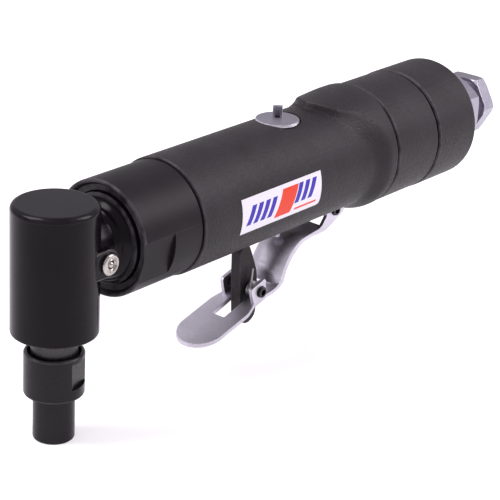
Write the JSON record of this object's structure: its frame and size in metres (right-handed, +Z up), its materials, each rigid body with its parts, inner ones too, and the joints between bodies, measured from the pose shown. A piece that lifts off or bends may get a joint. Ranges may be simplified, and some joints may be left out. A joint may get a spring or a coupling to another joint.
{
  "type": "die grinder",
  "caption": "Right-angle air die grinder: round grip with vane motor, angle head with collet spindle, rear exhaust and inlet, sprung throttle lever with lock.",
  "frame": {"origin": "bottom centre of the bounding box, in the plane of the collet nut end and midway along the tool", "axes": "+X along the body axis towards the air inlet, +Z up along the spindle axis, away from the collet"},
  "size_m": [0.2402, 0.0466, 0.0864],
  "materials": {
    "black_aluminium": "black anodised, semi-gloss",
    "black_composite": "black moulded composite, finely textured",
    "satin_steel": "satin plated",
    "bearing_steel": "ground",
    "dark_steel": "black oxide",
    "brass": "turned",
    "rubber": "matt",
    "felt": "pressed felt",
    "label_film": "printed film",
    "vane_composite": "laminated phenolic"
  },
  "bodies": {
    "housing": {"angle_head": "black_aluminium", "clamp_nut": "black_aluminium", "grip_housing": "black_composite", "exhaust_ring": "black_composite", "rear_cap": "black_composite", "inlet_bushing": "satin_steel", "inlet_adapter": "satin_steel", "grease_fitting": "satin_steel", "grease_ball": "satin_steel", "valve_spring": "satin_steel", "front_motor_bearing": "bearing_steel", "rear_motor_bearing": "bearing_steel", "pinion_bearing": "bearing_steel", "spindle_top_bearing": "bearing_steel", "spindle_lower_bearing": "bearing_steel", "hinge_pin": "dark_steel", "bearing_retainer": "dark_steel", "front_end_plate": "dark_steel", "cylinder_liner": "dark_steel", "rear_end_plate": "dark_steel", "inlet_screen": "brass", "valve_seat": "brass", "head_seal": "rubber", "ring_gasket": "rubber", "muffler_felt": "felt", "side_label": "label_film"},
    "rotor": {"rotor": "dark_steel", "vane_1": "vane_composite", "vane_2": "vane_composite", "vane_3": "vane_composite", "vane_4": "vane_composite", "bevel_pinion": "bearing_steel"},
    "spindle": {"spindle": "dark_steel", "bevel_gear": "bearing_steel", "chuck_collar": "black_aluminium", "collet_nut": "dark_steel", "collet": "satin_steel"},
    "lever": {"throttle_lever": "satin_steel", "lock_pin": "dark_steel", "lock_spring": "satin_steel"},
    "lock": {"lock_lever": "black_composite"},
    "valve": {"valve_pin": "satin_steel"},
    "regulator": {"regulator_dial": "satin_steel", "regulator_stem": "brass"}
  },
  "joints": [
    {"name": "lever_hinge", "type": "hinge", "parent": "housing", "child": "lever", "pos_m": [0.02703, 0, 0.0431], "axis": [0, 1, 0], "range_deg": [0, 4.5], "stiffness_Nm_per_rad": 4, "springref_deg": -6.88},
    {"name": "lock_pivot", "type": "hinge", "parent": "lever", "child": "lock", "pos_m": [-0.01328, 0, 0.0235], "axis": [0, 1, 0], "range_deg": [0, 50]},
    {"name": "valve_slide", "type": "slide", "parent": "housing", "child": "valve", "axis": [0, 0, 1], "range_m": [0, 0.002], "deforming": ["valve_spring"]},
    {"name": "regulator_turn", "type": "hinge", "parent": "housing", "child": "regulator", "pos_m": [-0.00017, 0, 0.0828], "axis": [0, 0, 1], "range_deg": [-50, 50]},
    {"name": "rotor_spin", "type": "hinge", "parent": "housing", "child": "rotor", "pos_m": [-0.04618, 0, 0.062], "axis": [1, 0, 0], "continuous": true},
    {"name": "spindle_spin", "type": "hinge", "parent": "housing", "child": "spindle", "pos_m": [-0.10618, 0, 0.032], "axis": [0, 0, 1], "continuous": true}
  ],
  "couplings": [
    {"joint": "spindle_spin", "follows": "rotor_spin", "ratio": 1},
    {"joint": "lock_pivot", "follows": "lever_hinge", "ratio": 11},
    {"joint": "valve_slide", "follows": "lever_hinge", "m_per_rad": 0.0242}
  ]
}
